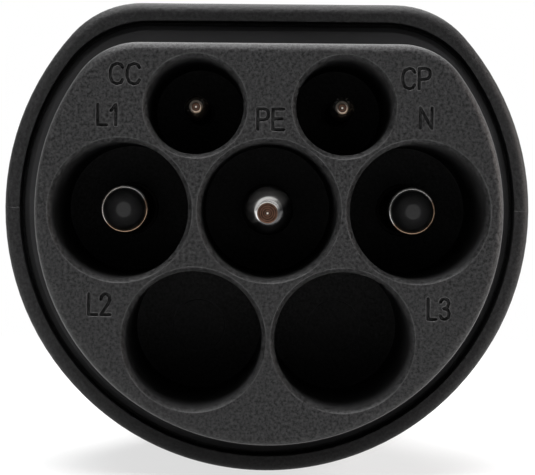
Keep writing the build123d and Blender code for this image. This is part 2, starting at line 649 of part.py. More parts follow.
# ------------------------------------------------------------------ cable gland
def gland_body():
    """Threaded gland: flatted flange, collar, thread and a ring of springy claws."""
    points = [
        (GLAND_THROAT, GLAND_FLANGE_FRONT), (GLAND_NECK, GLAND_FLANGE_FRONT),
        (GLAND_NECK, HEEL_BACK), (GLAND_COLLAR, HEEL_BACK), (GLAND_COLLAR, GLAND_COLLAR_BACK),
        (GLAND_THREAD, GLAND_COLLAR_BACK), (GLAND_THREAD, GLAND_THREAD_BACK),
        (CLAW_RADIUS, GLAND_THREAD_BACK), (CLAW_RADIUS, RING_FRONT), (CLAW_TIP, CLAW_BACK),
        (GLAND_BORE, CLAW_BACK), (GLAND_BORE, GROMMET_FRONT), (GLAND_THROAT, GROMMET_FRONT),
    ]
    body = turned(points, (0, GLAND_AXIS))
    throat = rod(GLAND_THROAT, GLAND_FLANGE_FRONT, GLAND_FLANGE_BACK, (0, GLAND_AXIS))
    body += gland_flange(0) - throat
    ring_back = HEEL_BACK + 2 * ORING_SECTION
    groove = rod(ORING_RADIUS + ORING_SECTION, HEEL_BACK, ring_back, (0, GLAND_AXIS))
    body -= groove - rod(ORING_RADIUS - ORING_SECTION, HEEL_BACK, ring_back, (0, GLAND_AXIS))
    for number in range(CLAW_COUNT // 2):
        slot = Box(2 * GLAND_THREAD, CLAW_LENGTH, CLAW_SLOT, align=(Align.CENTER, Align.MIN, Align.CENTER))
        turn = Rot(0, 360 / CLAW_COUNT * number, 0)
        body -= Pos(0, GLAND_THREAD_BACK + CLAW_SLOT / 2, GLAND_AXIS) * turn * slot
    return body


def gland_oring():
    """Rubber ring between the gland's collar and the end of the handle."""
    y = HEEL_BACK + ORING_SECTION
    section = Pos(ORING_RADIUS, y) * Circle(ORING_SECTION)
    return Pos(0, 0, GLAND_AXIS) * revolve(section, Axis.Y)


def cable_grommet():
    """Rubber sleeve that grips the cable, inside the claws."""
    edge = GROMMET_EDGE
    outer = GLAND_BORE - PIN_FIT
    points = [
        (GROMMET_BORE, GROMMET_FRONT), (outer, GROMMET_FRONT), (outer, CLAW_BACK - edge),
        (outer - edge, CLAW_BACK), (GROMMET_BORE, CLAW_BACK),
    ]
    return turned(points, (0, GLAND_AXIS))


def thrust_ring():
    """Ring with a cone that squeezes the claws when the nut is screwed in."""
    inner = CLAW_RADIUS + RING_GAP
    tip = CLAW_TIP + RING_GAP
    points = [
        (inner, RING_FRONT - RING_GAP), (RING_RADIUS, RING_FRONT - RING_GAP),
        (RING_RADIUS, RING_BACK), (tip, RING_BACK), (tip, CLAW_BACK), (inner, RING_FRONT),
    ]
    return turned(points, (0, GLAND_AXIS))


def gland_nut():
    """Fluted cap nut: threaded bore, room for the ring, and a flared mouth for the cable."""
    bore = GLAND_THREAD + THREAD_FIT
    room = RING_RADIUS + RING_GAP
    rounding = NUT_END_ROUNDING
    bend = rounding * math.sin(math.pi / 4)
    end_arc = ThreePointArc(
        (NUT_RADIUS, NUT_BACK - rounding),
        (NUT_RADIUS - rounding + bend, NUT_BACK - rounding + bend),
        (NUT_RADIUS - rounding, NUT_BACK),
    )
    rest = Polyline(
        (NUT_RADIUS - rounding, NUT_BACK), (NUT_MOUTH + 1, NUT_BACK), (NUT_MOUTH, NUT_BACK - 1),
        (NUT_MOUTH, NUT_SHOULDER), (room, NUT_SHOULDER), (room, GLAND_THREAD_BACK + NUT_GAP),
        (bore, GLAND_THREAD_BACK + NUT_GAP), (bore, NUT_FRONT), (NUT_RADIUS, NUT_FRONT),
        (NUT_RADIUS, NUT_BACK - rounding),
    )
    nut = revolve(make_face(Curve() + [end_arc, rest]), Axis.Y)
    flute_reach = NUT_RADIUS + NUT_FLUTE_RADIUS - NUT_FLUTE_DEPTH
    flute = rod(NUT_FLUTE_RADIUS, NUT_FRONT - 1, NUT_BACK + 1, (flute_reach, 0))
    for number in range(NUT_FLUTES):
        nut -= Rot(0, 360 / NUT_FLUTES * number, 0) * flute
    return Pos(0, 0, GLAND_AXIS) * nut


# ------------------------------------------------------------------ cord clamp
def cord_clamp():
    """Bridge over the cable: two ears on the cradle and an arch between them."""
    y = NOSE_LENGTH + CLAMP_AT
    start = y - CLAMP_LENGTH / 2
    seat = GLAND_AXIS - CLAMP_SEAT
    stand = (Align.CENTER, Align.CENTER, Align.MIN)
    bridge = Pos(0, y, seat) * Box(2 * CLAMP_HALF_WIDTH, CLAMP_LENGTH, CLAMP_PLATE, align=stand)
    bridge += rod(GROMMET_BORE + CLAMP_ARCH_WALL, start, start + CLAMP_LENGTH, (0, GLAND_AXIS))
    bridge &= Pos(0, y, seat) * Box(2 * REST_LEVEL, CLAMP_LENGTH, REST_LEVEL, align=stand)
    bridge -= rod(GROMMET_BORE + CLAMP_FIT, start, start + CLAMP_LENGTH, (0, GLAND_AXIS))
    for side in (-1, 1):
        bridge -= post(SCREW_RADIUS + SCREW_FIT, seat, seat + CLAMP_PLATE, side * CLAMP_SCREW_SIDE, y)
    return bridge


def clamp_screws():
    """Two screws from above, through the bridge's ears into the cradle."""
    body = screw(CLAMP_PLATE + THREAD_DEPTH - SCREW_RADIUS)
    top = GLAND_AXIS - CLAMP_SEAT + CLAMP_PLATE
    y = NOSE_LENGTH + CLAMP_AT
    return [Pos(side * CLAMP_SCREW_SIDE, y, top) * Rot(180, 0, 0) * body for side in (-1, 1)]


# ------------------------------------------------------------------ assembly
def build():
    """Every node of the plug by name; a group of like pieces is a list."""
    body = whole_body()
    for pocket in pad_pockets():
        body -= pocket
    return {
        "nose_housing": nose_housing(),
        "nose_seal": nose_seal(),
        "pin_pe": earth_pin(),
        "pin_l1": live_pin(LINE_PLACE),
        "pin_n": live_pin(NEUTRAL_PLACE),
        "pin_cc": signal_pin(CC_PLACE),
        "pin_cp": signal_pin(CP_PLACE),
        "touch_cap_l1": touch_cap(LINE_PLACE),
        "touch_cap_n": touch_cap(NEUTRAL_PLACE),
        "blanking_plugs": blanking_plugs(),
        "rear_insulator": rear_insulator(),
        "insulator_screws": insulator_screws(),
        "coding_board": coding_board(),
        "coding_resistors": coding_resistors(),
        "upper_shell": upper_shell(body),
        "lower_shell": lower_shell(body),
        "shell_screws": shell_screws(),
        "grip_pad_left": grip_pad(-1),
        "grip_pad_right": grip_pad(1),
        "cord_clamp": cord_clamp(),
        "clamp_screws": clamp_screws(),
        "gland_body": gland_body(),
        "gland_oring": gland_oring(),
        "cable_grommet": cable_grommet(),
        "thrust_ring": thrust_ring(),
        "gland_nut": gland_nut(),
    }


os.makedirs("parts", exist_ok=True)
for name, shape in build().items():
    solids = shape if isinstance(shape, list) else [shape]
    export_step(Compound(children=[s for piece in solids for s in piece.solids()]), f"parts/{name}.step")
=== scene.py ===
import math

import bmesh
import bpy
from mathutils import Matrix, Vector


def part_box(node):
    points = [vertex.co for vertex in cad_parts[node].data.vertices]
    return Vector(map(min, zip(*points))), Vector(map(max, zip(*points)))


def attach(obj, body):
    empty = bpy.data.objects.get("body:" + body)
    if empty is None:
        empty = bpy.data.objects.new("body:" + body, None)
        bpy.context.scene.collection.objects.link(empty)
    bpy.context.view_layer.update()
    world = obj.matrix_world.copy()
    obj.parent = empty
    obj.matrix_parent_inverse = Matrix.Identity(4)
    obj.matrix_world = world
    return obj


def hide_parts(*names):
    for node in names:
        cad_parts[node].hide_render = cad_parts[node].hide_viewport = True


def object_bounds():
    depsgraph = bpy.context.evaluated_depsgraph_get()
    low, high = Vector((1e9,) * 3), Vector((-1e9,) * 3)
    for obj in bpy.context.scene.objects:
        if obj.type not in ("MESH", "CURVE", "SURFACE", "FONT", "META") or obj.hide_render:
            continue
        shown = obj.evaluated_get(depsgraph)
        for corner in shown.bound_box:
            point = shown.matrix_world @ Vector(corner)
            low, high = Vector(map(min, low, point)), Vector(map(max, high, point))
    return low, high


# Dresses the charging plug: a material for every CAD node, the contact marks cut into the nose, the thread
# cut into the gland, a white floor, soft studio light and a camera in front of the mating face.
# Sizes on the plug are in millimetres, and MM turns them into metres.  The stage and camera are in metres.

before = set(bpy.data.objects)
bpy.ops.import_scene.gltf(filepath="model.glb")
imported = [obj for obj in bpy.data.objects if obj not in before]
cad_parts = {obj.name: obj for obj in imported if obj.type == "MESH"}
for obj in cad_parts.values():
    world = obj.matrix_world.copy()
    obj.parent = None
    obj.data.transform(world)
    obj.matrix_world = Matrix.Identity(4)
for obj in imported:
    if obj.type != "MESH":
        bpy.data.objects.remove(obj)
cad_box = [list(corner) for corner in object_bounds()]

MM = 0.001
WHITE = (1.0, 1.0, 1.0)

# Contact marks, which stand beside their wells on the mating face: centre (across, up) and width
MARKS = {
    "CC": ((-17.34, 16.25), 3.85),
    "L1": ((-19.45, 11.33), 2.55),
    "PE": ((0.11, 10.95), 3.5),
    "CP": ((17.45, 15.95), 3.65),
    "N": ((18.65, 11.25), 1.8),
    "L2": ((-20.15, -11.3), 2.95),
    "L3": ((20.35, -11.55), 2.95),
}
MARK_HEIGHT = 2.85
LETTER_GAP = 0.22            # between two letters, as a share of their height

# Centre lines of the letters as strokes through (across, up), in a box one unit high
LETTERS = {
    "C": [[(0.58, 0.80), (0.50, 0.94), (0.32, 1.0), (0.10, 0.90), (0.0, 0.66), (0.0, 0.34), (0.10, 0.10),
           (0.32, 0.0), (0.50, 0.06), (0.58, 0.20)]],
    "E": [[(0.52, 1.0), (0.0, 1.0), (0.0, 0.0), (0.54, 0.0)], [(0.0, 0.52), (0.46, 0.52)]],
    "L": [[(0.0, 1.0), (0.0, 0.0), (0.46, 0.0)]],
    "N": [[(0.0, 0.0), (0.0, 1.0), (0.58, 0.0), (0.58, 1.0)]],
    "P": [[(0.0, 0.0), (0.0, 1.0), (0.32, 1.0), (0.46, 0.95), (0.53, 0.84), (0.53, 0.64), (0.46, 0.53),
           (0.32, 0.47), (0.0, 0.47)]],
    "1": [[(0.0, 0.70), (0.26, 1.0), (0.26, 0.0)]],
    "2": [[(0.0, 0.74), (0.04, 0.90), (0.18, 1.0), (0.34, 1.0), (0.48, 0.90), (0.50, 0.72), (0.42, 0.54),
           (0.0, 0.0), (0.52, 0.0)]],
    "3": [[(0.02, 0.84), (0.12, 0.97), (0.28, 1.0), (0.44, 0.93), (0.49, 0.77), (0.42, 0.60), (0.22, 0.53),
           (0.43, 0.46), (0.52, 0.29), (0.46, 0.09), (0.28, 0.0), (0.10, 0.04), (0.0, 0.18)]],
}

# Round tool that cuts the marks, with a ball at its end
TOOL_RADIUS = 0.20
TOOL_DEPTH = 0.40            # of the ball's centre below the face
BALL_ROWS = 6                # of facets on the ball, from pole to pole
BALL_SPOKES = 12             # round the ball
POLE_WELD = 0.0001           # makes one point of the spokes' ends at a pole
FLAT_FACE = 0.999            # a facet that faces forward by at least this much is of the flat front face

# Thread of the gland, cut into its plain cylinder
THREAD_PITCH = 1.5
THREAD_DEPTH = 0.55
THREAD_LENGTH = 13.0
THREAD_RADIUS = 16.0
THREAD_STEPS = 48            # to a turn
GROOVE_HALF_WIDTH = 0.42     # at the cutter's widest, as a share of the pitch
GROOVE_OVERHANG = 0.2        # of the cutter outside the cylinder
GROOVE_INSET = 0.45          # of the groove's middle from each end of the thread, as a share of the pitch
THREAD_SETBACK = 3.2         # from the front of the O-ring to the front of the thread

# Clean-up of a cut mesh
CUT_WELD = 0.0005            # points as close as this become one
CRUMB_FACES = 20             # a separate bit of fewer faces than this is a crumb
SHARP_ANGLE = math.radians(35)

# Finish of the contacts, with painted shade on the low side of their ends and on their shanks deep in the
# wells, and of rubbed edges, whose pale band is also a painted highlight
EDGE_WEAR_AND_HIGHLIGHT = 0.25             # width of the pale band on an edge, which is rubbed wear and painted highlight
EDGE_FULL = 0.90             # cosine of a rounded edge's turn where that pale band is full
EDGE_NONE = 0.995            # and where it ends
LATHE_PITCH = 0.27           # between two rings on a turned end
WELL_SHADE_FADE = 2.0             # over which the plating is painted dark, as shade deep in the well
SILVER = (0.86, 0.85, 0.83)
DULL_SILVER = (0.70, 0.67, 0.64)
BRIGHT_RIM = (0.95, 0.84, 0.74)
COPPER = (0.80, 0.62, 0.47)
# BRONZE and the grey after it are painted shade on the low side of the live and earth contacts' ends; the
# near-black after that is painted shade on a shank deep in its well
BRONZE = (0.42, 0.29, 0.20)
PAINTED_SHADE_GREY = (0.11, 0.11, 0.112)
PAINTED_WELL_SHADE = (0.015, 0.014, 0.013)
BARE_BROWN = (0.11, 0.058, 0.040)
DARK_BROWN = (0.020, 0.012, 0.009)
RING_BROWN = (0.27, 0.145, 0.098)
CENTRE_GLINT = (0.95, 0.90, 0.84)

# Stage, in metres
FLOOR_REACH = 1.6            # from the middle of the floor to each side
FLOOR_GAP = 0.0001           # between the plug and the floor
PAPER = (0.92, 0.92, 0.92)
NEAR_GLOW = 0.70             # share of the floor's look under the plug that is its own white, not lit paper
GLOW_START = 0.10            # from the plug's middle to where that share begins to grow
GLOW_FULL = 0.30             # and to where the floor is plain white
STUDIO_STRENGTH = 0.12       # of the surround as a light
MIRROR_START = 0.1           # Y of a mirrored ray's direction from which it begins to see a white surround
MIRROR_FULL = 0.6            # and from which it sees nothing else

# Camera, in metres: in front of the nose and aimed at it, a hair above and to the left of its axis
CAMERA_DISTANCE = 0.323
CAMERA_ASIDE = -0.0023
CAMERA_RISE = 0.0022
CAMERA_ROLL = math.radians(-0.48)
CLIP_START = 0.01
FRAME_WIDTH = 0.06384        # of the view, at the nose's front face
SENSOR_WIDTH = 36.0          # in millimetres, as the lens is
SHIFT_ASIDE = -0.003         # of the view, as a share of its width
SHIFT_UP = -0.0495


# ------------------------------------------------------------------ node helpers
class Nodes:
    """The nodes of a material or of the world, with short ways to add and to join them."""

    def __init__(self, owner, output):
        owner.use_nodes = True
        self.nodes = owner.node_tree.nodes
        self.links = owner.node_tree.links
        self.nodes.clear()
        self.output = self.nodes.new(output)
        self.coordinates = self.nodes.new("ShaderNodeTexCoord").outputs

    def join(self, source, target):
        """Link an output to an input."""
        self.links.new(source, target)

    def give(self, value, target):
        """Set a socket to a number or a colour, or join another socket to it."""
        if isinstance(value, tuple):
            target.default_value = (*value, 1.0)
        elif isinstance(value, (int, float)):
            target.default_value = value
        else:
            self.join(value, target)

    def add(self, kind, **settings):
        """Add a node; a setting is one of its properties or, with _ for each space, one of its inputs."""
        node = self.nodes.new(kind)
        for key, value in settings.items():
            if hasattr(node, key):
                setattr(node, key, value)
            else:
                self.give(value, node.inputs[key.replace("_", " ")])
        return node

    def math(self, operation, first, second=None, clamp=False):
        """Reckon with numbers and sockets."""
        node = self.add("ShaderNodeMath", operation=operation, use_clamp=clamp)
        self.give(first, node.inputs[0])
        if second is not None:
            self.give(second, node.inputs[1])
        return node.outputs[0]

    def plus(self, first, second):
        return self.math("ADD", first, second)

    def times(self, first, second):
        return self.math("MULTIPLY", first, second)

    def either(self, first, second):
        return self.math("MAXIMUM", first, second)

    def ramp(self, value, start=0.0, end=1.0, low=0.0, high=1.0):
        """Map a value from the stretch start..end to low..high."""
        node = self.add("ShaderNodeMapRange", Value=value, From_Min=start, From_Max=end,
                        To_Min=low, To_Max=high)
        return node.outputs["Result"]

    def split(self, vector):
        """The X, Y and Z of a vector."""
        return self.add("ShaderNodeSeparateXYZ", Vector=vector).outputs

    def show(self, shader):
        """Make a shader what is seen."""
        self.join(shader.outputs[0], self.output.inputs["Surface"])

    def show_mix(self, factor, first, second):
        """Show the first of two shaders where the factor is 0 and the second where it is 1."""
        mix = self.add("ShaderNodeMixShader")
        for source, target in zip((factor, first.outputs[0], second.outputs[0]), mix.inputs):
            self.join(source, target)
        self.show(mix)


class Shader(Nodes):
    """A new material with its patterns in the plug's coordinates; lengths are in millimetres."""

    def __init__(self, name):
        self.material = bpy.data.materials.new(name)
        super().__init__(self.material, "ShaderNodeOutputMaterial")
        self.place = self.coordinates["Object"]

    def noise(self, scale, detail=3.0, roughness=0.5):
        """Cloudy mottling, finer the larger the scale."""
        node = self.add("ShaderNodeTexNoise", Vector=self.place, Scale=scale,
                        Detail=detail, Roughness=roughness)
        return node.outputs["Fac"]

    def cells(self, scale):
        """Rounded pits side by side, finer the larger the scale."""
        node = self.add("ShaderNodeTexVoronoi", feature="SMOOTH_F1", Vector=self.place, Scale=scale,
                        Smoothness=0.6)
        return node.outputs["Distance"]

    def stripes(self, scale, distortion):
        """Wavy stripes across the plug."""
        node = self.add("ShaderNodeTexWave", wave_type="BANDS", bands_direction="X", Vector=self.place,
                        Scale=scale, Distortion=distortion)
        return node.outputs["Fac"]

    def blend(self, factor, first, second):
        """Mix two colours, each a tuple or a socket."""
        node = self.add("ShaderNodeMix", data_type="RGBA", Factor=factor)
        self.give(first, node.inputs[6])
        self.give(second, node.inputs[7])
        return node.outputs[2]

    def rounded(self, radius, samples=6):
        """The normal that the surface would have if its edges were rounded."""
        return self.add("ShaderNodeBevel", samples=samples, Radius=radius * MM).outputs["Normal"]

    def edges(self, radius):
        """Mask of the sharp edges, where a rounded surface would face another way than the real one."""
        product = self.add("ShaderNodeVectorMath", operation="DOT_PRODUCT")
        self.join(self.rounded(radius), product.inputs[0])
        self.join(self.add("ShaderNodeNewGeometry").outputs["Normal"], product.inputs[1])
        return self.ramp(product.outputs["Value"], EDGE_FULL, EDGE_NONE, low=1.0, high=0.0)

    def bump(self, height, strength, depth, below=None):
        """Relief of that depth, on top of another normal if one is given."""
        node = self.add("ShaderNodeBump", Height=height, Strength=strength, Distance=depth * MM)
        if below is not None:
            self.join(below, node.inputs["Normal"])
        return node.outputs["Normal"]

    def surface(self, colour, roughness, normal, metallic=0.0, sheen=0.5):
        """Finish the material; sheen is the level of its clear reflections."""
        self.show(self.add("ShaderNodeBsdfPrincipled", Base_Color=colour, Roughness=roughness, Normal=normal,
                           Metallic=metallic, Specular_IOR_Level=sheen))
        return self.material


def shade(colour, gain, lift=0.0):
    """A lighter or darker colour of the same kind."""
    return tuple(part * gain + lift for part in colour)


# ------------------------------------------------------------------ materials
def textured_plastic(name, colour, grain, depth, roughness, worn=0.25, specks=1.0, rounding=0.12, sheen=0.36):
    """Moulded plastic with a spark-eroded grain, faint flow marks and a pale band on its edges that is both
    rubbed wear and painted highlight.

    grain is the fineness of the pebbles and depth their relief, worn the strength of the pale band on the
    edges (rubbed wear and painted highlight), specks how far the colour varies with the pebbles, and rounding
    the radius of the moulded edges.
    """
    shader = Shader(name)
    flow = shader.noise(38.0, detail=4.0)
    pebbles = shader.noise(grain, detail=4.0, roughness=0.7)
    pits = shader.cells(grain * 0.55)

    dark = shade(colour, 1 - 0.8 * specks)
    pale = shade(colour, 1 + 1.5 * specks)
    base = shader.blend(shader.ramp(pebbles, 0.38, 0.62), dark, pale)
    base = shader.blend(shader.ramp(flow, 0.40, 0.66, high=0.3), base, colour)
    # pale band on the edges: rubbed wear, and also a painted highlight on the rims
    patches = shader.ramp(shader.noise(420.0, detail=5.0), 0.3, 0.6, high=worn)
    edge_wear_and_highlight = shader.times(shader.edges(EDGE_WEAR_AND_HIGHLIGHT), patches)
    base = shader.blend(edge_wear_and_highlight, base, shade(colour, 2.6, lift=0.03))

    waves = shader.bump(flow, 0.12, 0.05, below=shader.rounded(rounding))
    relief = shader.plus(pebbles, shader.times(pits, 0.7))
    normal = shader.bump(relief, 0.9, depth, below=waves)
    rough = shader.ramp(pebbles, low=roughness - 0.06, high=roughness + 0.08)
    rough = shader.plus(rough, shader.times(edge_wear_and_highlight, -0.12))
    return shader.surface(base, rough, normal, sheen=sheen)


def soft_rubber(name, colour, roughness=0.78):
    """Matt rubber with bloom and a very fine grain."""
    shader = Shader(name)
    bloom = shader.noise(85.0, detail=5.0, roughness=0.6)
    base = shader.blend(shader.ramp(bloom, 0.4, 0.75), colour, shade(colour, 1.9))
    normal = shader.bump(shader.noise(2600.0, detail=2.0), 0.5, 0.03)
    rough = shader.ramp(bloom, low=roughness - 0.08, high=roughness + 0.1)
    return shader.surface(base, rough, normal, sheen=0.3)


def contact_end(contact):
    """Where a contact ends (across, behind the face, up), to a hundredth of a millimetre."""
    low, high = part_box("pin_" + contact)
    place = ((low[0] + high[0]) / 2, low[1], (low[2] + high[2]) / 2)
    return [round(value / MM, 2) for value in place]


def plated_contact(contact, disc, shade_setback, worn, low_shade, rim=0.0, offset=(0.0, 0.0)):
    """Turned, silvered metal with a bare brown disc and its lathe rings on the end, painted shade on the low
    side of the end, and a shank painted dark as shade deep in the well.

    disc is the disc's radius, rim the width of the bright rim round it, offset how far its centre lies off
    the contact's axis (across, up), and the setback how far behind the end the shank is painted dark as shade
    in the well.  worn is the colour of the rubbed plating, and the low-side colour the painted shade on the
    end's low side.
    """
    across, end, up = contact_end(contact)
    shader = Shader("plate_" + contact)
    place = shader.split(shader.place)
    dx = shader.math("SUBTRACT", place["X"], (across + offset[0]) * MM)
    dz = shader.math("SUBTRACT", place["Z"], (up + offset[1]) * MM)
    radius = shader.math("SQRT", shader.plus(shader.times(dx, dx), shader.times(dz, dz)))
    rings = shader.math("SINE", shader.times(radius, 2 * math.pi / (LATHE_PITCH * MM)))
    mottle = shader.noise(1500.0, detail=5.0, roughness=0.6)
    tarnish_and_shade_noise = shader.noise(430.0, detail=2.0)

    def within(start, end):
        """Mask that is 1 up to the start and 0 past the end, measured from the disc's centre."""
        return shader.ramp(radius, start * MM, end * MM, low=1.0, high=0.0)

    inside = within(disc - 0.05, disc + 0.03)
    bright = shader.math("SUBTRACT", within(disc + rim, disc + rim + 0.06), inside, clamp=True)
    # painted shade: the lower right of the end, round the disc, takes the low-side colour, its border made
    # ragged by noise
    painted_low_shade = shader.plus(shader.times(dx, 0.55), shader.times(dz, -0.83))
    painted_low_shade = shader.plus(painted_low_shade, shader.times(tarnish_and_shade_noise, 0.3 * MM))
    painted_low_shade = shader.times(shader.ramp(painted_low_shade, 0.0, 0.6 * MM), shader.math("SUBTRACT", 1.0, inside))
    # painted shade: past the setback the shank fades to near black, as shade deep in the well
    well_shade = shader.ramp(place["Y"], (end + shade_setback) * MM, (end + shade_setback + WELL_SHADE_FADE) * MM)

    brown = shader.blend(shader.ramp(mottle, 0.38, 0.66), DARK_BROWN, BARE_BROWN)
    brown = shader.blend(shader.ramp(rings, 0.1, 0.9, high=0.6), brown, RING_BROWN)
    brown = shader.blend(within(0.08, 0.17), brown, CENTRE_GLINT)
    base = shader.blend(shader.ramp(tarnish_and_shade_noise, 0.46, 0.70, high=0.75), SILVER, worn)
    for mask, colour in ((bright, BRIGHT_RIM), (inside, brown), (painted_low_shade, low_shade), (well_shade, PAINTED_WELL_SHADE)):
        base = shader.blend(mask, base, colour)

    height = shader.times(shader.plus(rings, shader.times(mottle, 1.4)), shader.ramp(inside, low=0.12))
    normal = shader.bump(height, 0.30, 0.016, below=shader.rounded(0.10, samples=8))
    rough = shader.ramp(tarnish_and_shade_noise, 0.3, 0.7, low=0.12, high=0.26)
    for mask, rise in ((inside, 0.14), (bright, 0.34), (well_shade, 0.3)):
        rough = shader.plus(rough, shader.times(mask, rise))
    return shader.surface(base, rough, normal, metallic=1.0)


def zinc_steel(name):
    """Zinc-plated steel with a spangled grey sheen."""
    shader = Shader(name)
    spangle = shader.cells(1500.0)
    base = shader.blend(shader.ramp(spangle, 0.1, 0.6), (0.50, 0.50, 0.52), (0.72, 0.72, 0.71))
    normal = shader.bump(shader.noise(2400.0), 0.3, 0.01)
    return shader.surface(base, shader.ramp(spangle, 0.0, 0.6, low=0.28, high=0.45), normal, metallic=1.0)


def solder_mask(name):
    """Green circuit laminate with tracks under the mask."""
    shader = Shader(name)
    tracks = shader.ramp(shader.stripes(160.0, distortion=2.5), 0.55, 0.62)
    base = shader.blend(tracks, (0.012, 0.10, 0.035), (0.03, 0.19, 0.06))
    rough = shader.ramp(shader.noise(700.0), low=0.22, high=0.36)
    return shader.surface(base, rough, shader.bump(tracks, 0.4, 0.03))


def glazed_body(name, colour):
    """Lacquered resistor body with a slight orange peel."""
    shader = Shader(name)
    peel = shader.noise(1300.0)
    base = shader.blend(shader.ramp(peel, 0.4, 0.6), colour, shade(colour, 0.8))
    return shader.surface(base, shader.ramp(peel, low=0.2, high=0.34), shader.bump(peel, 0.3, 0.02))


def node_materials():
    """The material of every CAD node."""
    # worn sets the pale band on the edges, which is rubbed wear and also a painted highlight; the nose has it
    # in full
    shell = textured_plastic("shell_grain", (0.0065, 0.0065, 0.0067), grain=2600.0, depth=0.06,
                             roughness=0.50, worn=0.30, specks=0.8, rounding=0.22, sheen=0.19)
    nose = textured_plastic("nose_grain", (0.0105, 0.0105, 0.0107), grain=2700.0, depth=0.06,
                            roughness=0.42, worn=1.0, sheen=0.17)
    smooth = textured_plastic("fine_grain", (0.008, 0.008, 0.0083), grain=3600.0, depth=0.02,
                              roughness=0.46, worn=0.10, specks=0.3)
    cap = textured_plastic("cap_satin", (0.016, 0.016, 0.0165), grain=3600.0, depth=0.02,
                           roughness=0.40, worn=0.10, specks=0.3, rounding=0.35, sheen=0.5)
    gland = textured_plastic("nylon_grain", (0.016, 0.016, 0.0165), grain=2700.0, depth=0.04,
                             roughness=0.45, worn=0.35, specks=0.5)
    seal = soft_rubber("seal_rubber", (0.008, 0.008, 0.0085))
    pad = soft_rubber("grip_rubber", (0.026, 0.026, 0.028), roughness=0.7)
    steel = zinc_steel("zinc_steel")
    # each contact is painted with shade on the low side of its end and, from a setback behind its end, on its
    # shank in the well
    live = {"disc": 0.5, "shade_setback": 0.4, "worn": COPPER, "low_shade": BRONZE}
    signal = {"disc": 0.56, "rim": 0.22, "shade_setback": 1.0, "worn": COPPER, "low_shade": COPPER,
              "offset": (-0.05, 0.1)}
    earth = {"disc": 1.28, "shade_setback": 2.4, "worn": DULL_SILVER, "low_shade": PAINTED_SHADE_GREY,
             "offset": (-0.14, -0.32)}
    return {
        "upper_shell": shell,
        "lower_shell": shell,
        "nose_housing": nose,
        "nose_seal": seal,
        "gland_oring": seal,
        "cable_grommet": seal,
        "grip_pad_left": pad,
        "grip_pad_right": pad,
        "touch_cap_l1": cap,
        "touch_cap_n": cap,
        "blanking_plugs": nose,
        "rear_insulator": smooth,
        "cord_clamp": smooth,
        "thrust_ring": smooth,
        "gland_body": gland,
        "gland_nut": gland,
        "insulator_screws": steel,
        "shell_screws": steel,
        "clamp_screws": steel,
        "coding_board": solder_mask("solder_mask"),
        "coding_resistors": glazed_body("resistor_lacquer", (0.34, 0.50, 0.58)),
        "pin_pe": plated_contact("pe", **earth),
        "pin_l1": plated_contact("l1", **live),
        "pin_n": plated_contact("n", **live),
        "pin_cc": plated_contact("cc", **signal),
        "pin_cp": plated_contact("cp", **signal),
    }


def paint(piece, material):
    """Put one material on all of an object's slots."""
    if not piece.material_slots:
        piece.data.materials.append(material)
    for slot in piece.material_slots:
        slot.link = "OBJECT"
        slot.material = material


# ------------------------------------------------------------------ meshes
def new_object(name, data):
    """An object with that mesh, lamp or camera, in the scene."""
    thing = bpy.data.objects.new(name, data)
    bpy.context.scene.collection.objects.link(thing)
    return thing


def new_mesh(name, points, faces):
    """A mesh object with those points and faces."""
    mesh = bpy.data.meshes.new(name)
    mesh.from_pydata(points, [], faces)
    mesh.validate()
    mesh.update()
    return new_object(name, mesh)


def node_copy(node, name):
    """A free copy of a CAD node's object, to be cut and to stand for it."""
    return new_object(name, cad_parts[node].data.copy())


def cut(piece, cutter, overlapping=False):
    """Take the cutter's shape out of the piece; overlapping says that the cutter runs through itself."""
    modifier = piece.modifiers.new("cut", "BOOLEAN")
    modifier.operation = "DIFFERENCE"
    modifier.solver = "EXACT"
    modifier.use_self = overlapping
    modifier.object = cutter
    graph = bpy.context.evaluated_depsgraph_get()
    mesh = bpy.data.meshes.new_from_object(piece.evaluated_get(graph))
    piece.modifiers.clear()
    piece.data = mesh
    bpy.data.objects.remove(cutter)


def drop_crumbs(piece):
    """Weld a cut mesh and delete the specks of it that hang on nothing."""
    mesh = bmesh.new()
    mesh.from_mesh(piece.data)
    bmesh.ops.remove_doubles(mesh, verts=mesh.verts, dist=CUT_WELD * MM)
    bmesh.ops.dissolve_degenerate(mesh, edges=mesh.edges, dist=CUT_WELD * MM)
    unseen = set(mesh.faces)
    crumbs = []
    while unseen:
        island = [unseen.pop()]
        for face in island:
            for near in {other for edge in face.edges for other in edge.link_faces} & unseen:
                unseen.discard(near)
                island.append(near)
        if len(island) < CRUMB_FACES:
            crumbs += island
    bmesh.ops.delete(mesh, geom=crumbs, context="FACES")
    mesh.to_mesh(piece.data)
    mesh.free()


def smooth_by_angle(piece):
    """Smooth shading, with sharp edges kept crisp."""
    piece.data.shade_smooth()
    piece.data.set_sharp_from_angle(angle=SHARP_ANGLE)


# ------------------------------------------------------------------ contact marks
def mark_strokes(text, place, width):
    """Centre lines of a mark on the front face, in metres, fitted to its width and the marks' height."""
    lines = []
    pen = 0.0
    for letter in text:
        strokes = LETTERS[letter]
        lines += [[(x + pen, z) for x, z in stroke] for stroke in strokes]
        pen += max(x for stroke in strokes for x, z in stroke) + LETTER_GAP
    reach = pen - LETTER_GAP
    wide = width - 2 * TOOL_RADIUS
    high = MARK_HEIGHT - 2 * TOOL_RADIUS
    return [
        [((place[0] + (x / reach - 0.5) * wide) * MM, (place[1] + (z - 0.5) * high) * MM) for x, z in line]
        for line in lines
    ]


def ball(middle):
    """Points all over the ball at the tool's end."""
    points = []
    for row in range(BALL_ROWS + 1):
        tilt = math.pi * row / BALL_ROWS
        for spoke in range(BALL_SPOKES):
            turn = 2 * math.pi * spoke / BALL_SPOKES
            way = Vector((math.sin(tilt) * math.cos(turn), math.cos(tilt), math.sin(tilt) * math.sin(turn)))
            points.append(Vector(middle) + way * TOOL_RADIUS * MM)
    return points


